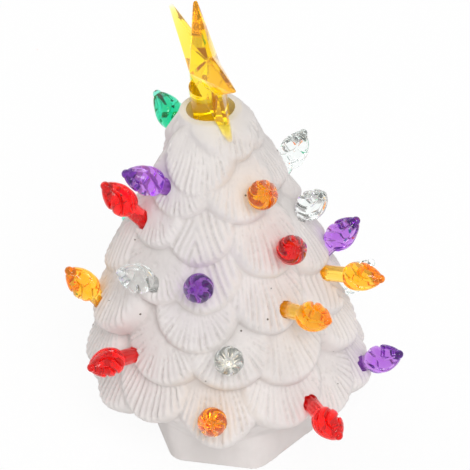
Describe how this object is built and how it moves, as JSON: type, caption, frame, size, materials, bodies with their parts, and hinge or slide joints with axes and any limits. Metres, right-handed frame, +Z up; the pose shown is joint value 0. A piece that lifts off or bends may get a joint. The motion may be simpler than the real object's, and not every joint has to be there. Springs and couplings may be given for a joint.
{
  "type": "ceramic Christmas tree",
  "caption": "Small unglazed ceramic Christmas tree with coloured plastic peg lights, a yellow star and a coin-cell lamp in its six-sided foot.",
  "frame": {"origin": "on the tree's axis at the plane the foot rests on", "axes": "+Z up the tree's axis, -Y towards the front that the picture shows, +X to the viewer's right"},
  "size_m": [0.0967, 0.1006, 0.1514],
  "materials": {
    "bisque": "unglazed matte",
    "yellow_plastic": "transparent",
    "green_plastic": "transparent",
    "purple_plastic": "transparent",
    "red_plastic": "transparent",
    "amber_plastic": "transparent",
    "clear_plastic": "transparent",
    "white_plastic": "satin",
    "black_plastic": "satin",
    "steel": "satin",
    "brass": "satin",
    "board": "satin"
  },
  "bodies": {
    "tree": {"tree_body": "bisque", "light_housing": "white_plastic", "base_cover": "white_plastic", "cover_screws": "steel", "coin_cell": "steel", "circuit_board": "board", "top_contact": "brass", "side_contact": "brass", "led_lamp": "clear_plastic", "switch_body": "black_plastic"},
    "star": {"star_topper": "yellow_plastic"},
    "cap": {"battery_cap": "white_plastic"},
    "slider": {"switch_slider": "black_plastic"},
    "green_light_01": {"green_light_01": "green_plastic"},
    "purple_light_02": {"purple_light_02": "purple_plastic"},
    "red_light_03": {"red_light_03": "red_plastic"},
    "green_light_04": {"green_light_04": "green_plastic"},
    "amber_light_05": {"amber_light_05": "amber_plastic"},
    "clear_light_06": {"clear_light_06": "clear_plastic"},
    "purple_light_07": {"purple_light_07": "purple_plastic"},
    "red_light_08": {"red_light_08": "red_plastic"},
    "clear_light_09": {"clear_light_09": "clear_plastic"},
    "amber_light_10": {"amber_light_10": "amber_plastic"},
    "red_light_11": {"red_light_11": "red_plastic"},
    "purple_light_12": {"purple_light_12": "purple_plastic"},
    "amber_light_13": {"amber_light_13": "amber_plastic"},
    "amber_light_14": {"amber_light_14": "amber_plastic"},
    "clear_light_15": {"clear_light_15": "clear_plastic"},
    "purple_light_16": {"purple_light_16": "purple_plastic"},
    "clear_light_17": {"clear_light_17": "clear_plastic"},
    "clear_light_18": {"clear_light_18": "clear_plastic"},
    "amber_light_19": {"amber_light_19": "amber_plastic"},
    "red_light_20": {"red_light_20": "red_plastic"},
    "amber_light_21": {"amber_light_21": "amber_plastic"},
    "red_light_22": {"red_light_22": "red_plastic"},
    "green_light_23": {"green_light_23": "green_plastic"},
    "purple_light_24": {"purple_light_24": "purple_plastic"},
    "clear_light_25": {"clear_light_25": "clear_plastic"},
    "amber_light_26": {"amber_light_26": "amber_plastic"},
    "red_light_27": {"red_light_27": "red_plastic"},
    "green_light_28": {"green_light_28": "green_plastic"},
    "purple_light_29": {"purple_light_29": "purple_plastic"},
    "green_light_30": {"green_light_30": "green_plastic"},
    "clear_light_31": {"clear_light_31": "clear_plastic"},
    "amber_light_32": {"amber_light_32": "amber_plastic"},
    "red_light_33": {"red_light_33": "red_plastic"},
    "clear_light_34": {"clear_light_34": "clear_plastic"}
  },
  "joints": [
    {"name": "star_pull", "type": "slide", "parent": "tree", "child": "star", "axis": [-0.0503, -0.112, 0.9924], "range_m": [0, 0.009]},
    {"name": "cap_turn", "type": "hinge", "parent": "tree", "child": "cap", "pos_m": [0, -0.005, 0.001], "axis": [0, 0, 1], "range_deg": [0, 45]},
    {"name": "switch_slide", "type": "slide", "parent": "tree", "child": "slider", "axis": [1, 0, 0], "range_m": [0, 0.002]},
    {"name": "green_light_01_pull", "type": "slide", "parent": "tree", "child": "green_light_01", "axis": [-0.5065, 0.6037, 0.6157], "range_m": [0, 0.0075]},
    {"name": "purple_light_02_pull", "type": "slide", "parent": "tree", "child": "purple_light_02", "axis": [-0.8172, -0.1887, 0.5446], "range_m": [0, 0.0085]},
    {"name": "red_light_03_pull", "type": "slide", "parent": "tree", "child": "red_light_03", "axis": [-0.5855, -0.0512, 0.809], "range_m": [0, 0.005]},
    {"name": "green_light_04_pull", "type": "slide", "parent": "tree", "child": "green_light_04", "axis": [-0.5332, 0.6824, 0.5], "range_m": [0, 0.007]},
    {"name": "amber_light_05_pull", "type": "slide", "parent": "tree", "child": "amber_light_05", "axis": [-0.5417, -0.0569, 0.8387], "range_m": [0, 0.008]},
    {"name": "clear_light_06_pull", "type": "slide", "parent": "tree", "child": "clear_light_06", "axis": [-0.6233, -0.4047, 0.6691], "range_m": [0, 0.008]},
    {"name": "purple_light_07_pull", "type": "slide", "parent": "tree", "child": "purple_light_07", "axis": [-0.1843, -0.7982, 0.5736], "range_m": [0, 0.008]},
    {"name": "red_light_08_pull", "type": "slide", "parent": "tree", "child": "red_light_08", "axis": [-0.6645, -0.6645, 0.342], "range_m": [0, 0.004]},
    {"name": "clear_light_09_pull", "type": "slide", "parent": "tree", "child": "clear_light_09", "axis": [0, -0.8192, 0.5736], "range_m": [0, 0.0078]},
    {"name": "amber_light_10_pull", "type": "slide", "parent": "tree", "child": "amber_light_10", "axis": [-0.114, -0.8112, 0.5736], "range_m": [0, 0.008]},
    {"name": "red_light_11_pull", "type": "slide", "parent": "tree", "child": "red_light_11", "axis": [0.3898, -0.9183, 0.0698], "range_m": [0, 0.0038]},
    {"name": "purple_light_12_pull", "type": "slide", "parent": "tree", "child": "purple_light_12", "axis": [0.7568, -0.4024, 0.515], "range_m": [0, 0.008]},
    {"name": "amber_light_13_pull", "type": "slide", "parent": "tree", "child": "amber_light_13", "axis": [0.5821, -0.7451, 0.3256], "range_m": [0, 0.0028]},
    {"name": "amber_light_14_pull", "type": "slide", "parent": "tree", "child": "amber_light_14", "axis": [0.8529, -0.4924, 0.1736], "range_m": [0, 0.0032]},
    {"name": "clear_light_15_pull", "type": "slide", "parent": "tree", "child": "clear_light_15", "axis": [0.7698, 0.2802, 0.5736], "range_m": [0, 0.007]},
    {"name": "purple_light_16_pull", "type": "slide", "parent": "tree", "child": "purple_light_16", "axis": [0.6655, -0.0699, 0.7431], "range_m": [0, 0.008]},
    {"name": "clear_light_17_pull", "type": "slide", "parent": "tree", "child": "clear_light_17", "axis": [0.4545, -0.4545, 0.766], "range_m": [0, 0.007]},
    {"name": "clear_light_18_pull", "type": "slide", "parent": "tree", "child": "clear_light_18", "axis": [0.4677, 0.0409, 0.8829], "range_m": [0, 0.008]},
    {"name": "amber_light_19_pull", "type": "slide", "parent": "tree", "child": "amber_light_19", "axis": [0.223, -0.7777, 0.5878], "range_m": [0, 0.007]},
    {"name": "red_light_20_pull", "type": "slide", "parent": "tree", "child": "red_light_20", "axis": [0.25, -0.7694, 0.5878], "range_m": [0, 0.007]},
    {"name": "amber_light_21_pull", "type": "slide", "parent": "tree", "child": "amber_light_21", "axis": [0.118, 0.8398, 0.5299], "range_m": [0, 0.008]},
    {"name": "red_light_22_pull", "type": "slide", "parent": "tree", "child": "red_light_22", "axis": [-0.2621, 0.8065, 0.5299], "range_m": [0, 0.008]},
    {"name": "green_light_23_pull", "type": "slide", "parent": "tree", "child": "green_light_23", "axis": [0.2195, 0.8192, 0.5299], "range_m": [0, 0.008]},
    {"name": "purple_light_24_pull", "type": "slide", "parent": "tree", "child": "purple_light_24", "axis": [-0.0592, 0.846, 0.5299], "range_m": [0, 0.008]},
    {"name": "clear_light_25_pull", "type": "slide", "parent": "tree", "child": "clear_light_25", "axis": [-0.2532, 0.8282, 0.5], "range_m": [0, 0.007]},
    {"name": "amber_light_26_pull", "type": "slide", "parent": "tree", "child": "amber_light_26", "axis": [0.3522, 0.7912, 0.5], "range_m": [0, 0.0075]},
    {"name": "red_light_27_pull", "type": "slide", "parent": "tree", "child": "red_light_27", "axis": [0.2676, 0.8236, 0.5], "range_m": [0, 0.0075]},
    {"name": "green_light_28_pull", "type": "slide", "parent": "tree", "child": "green_light_28", "axis": [-0.0905, 0.8613, 0.5], "range_m": [0, 0.0075]},
    {"name": "purple_light_29_pull", "type": "slide", "parent": "tree", "child": "purple_light_29", "axis": [-0.3244, 0.803, 0.5], "range_m": [0, 0.008]},
    {"name": "green_light_30_pull", "type": "slide", "parent": "tree", "child": "green_light_30", "axis": [0.519, 0.7143, 0.4695], "range_m": [0, 0.007]},
    {"name": "clear_light_31_pull", "type": "slide", "parent": "tree", "child": "clear_light_31", "axis": [0.2728, 0.8397, 0.4695], "range_m": [0, 0.008]},
    {"name": "amber_light_32_pull", "type": "slide", "parent": "tree", "child": "amber_light_32", "axis": [-0.1836, 0.8637, 0.4695], "range_m": [0, 0.008]},
    {"name": "red_light_33_pull", "type": "slide", "parent": "tree", "child": "red_light_33", "axis": [-0.5675, 0.6764, 0.4695], "range_m": [0, 0.008]},
    {"name": "clear_light_34_pull", "type": "slide", "parent": "tree", "child": "clear_light_34", "axis": [0.4976, 0.7662, 0.4067], "range_m": [0, 0.0075]}
  ]
}
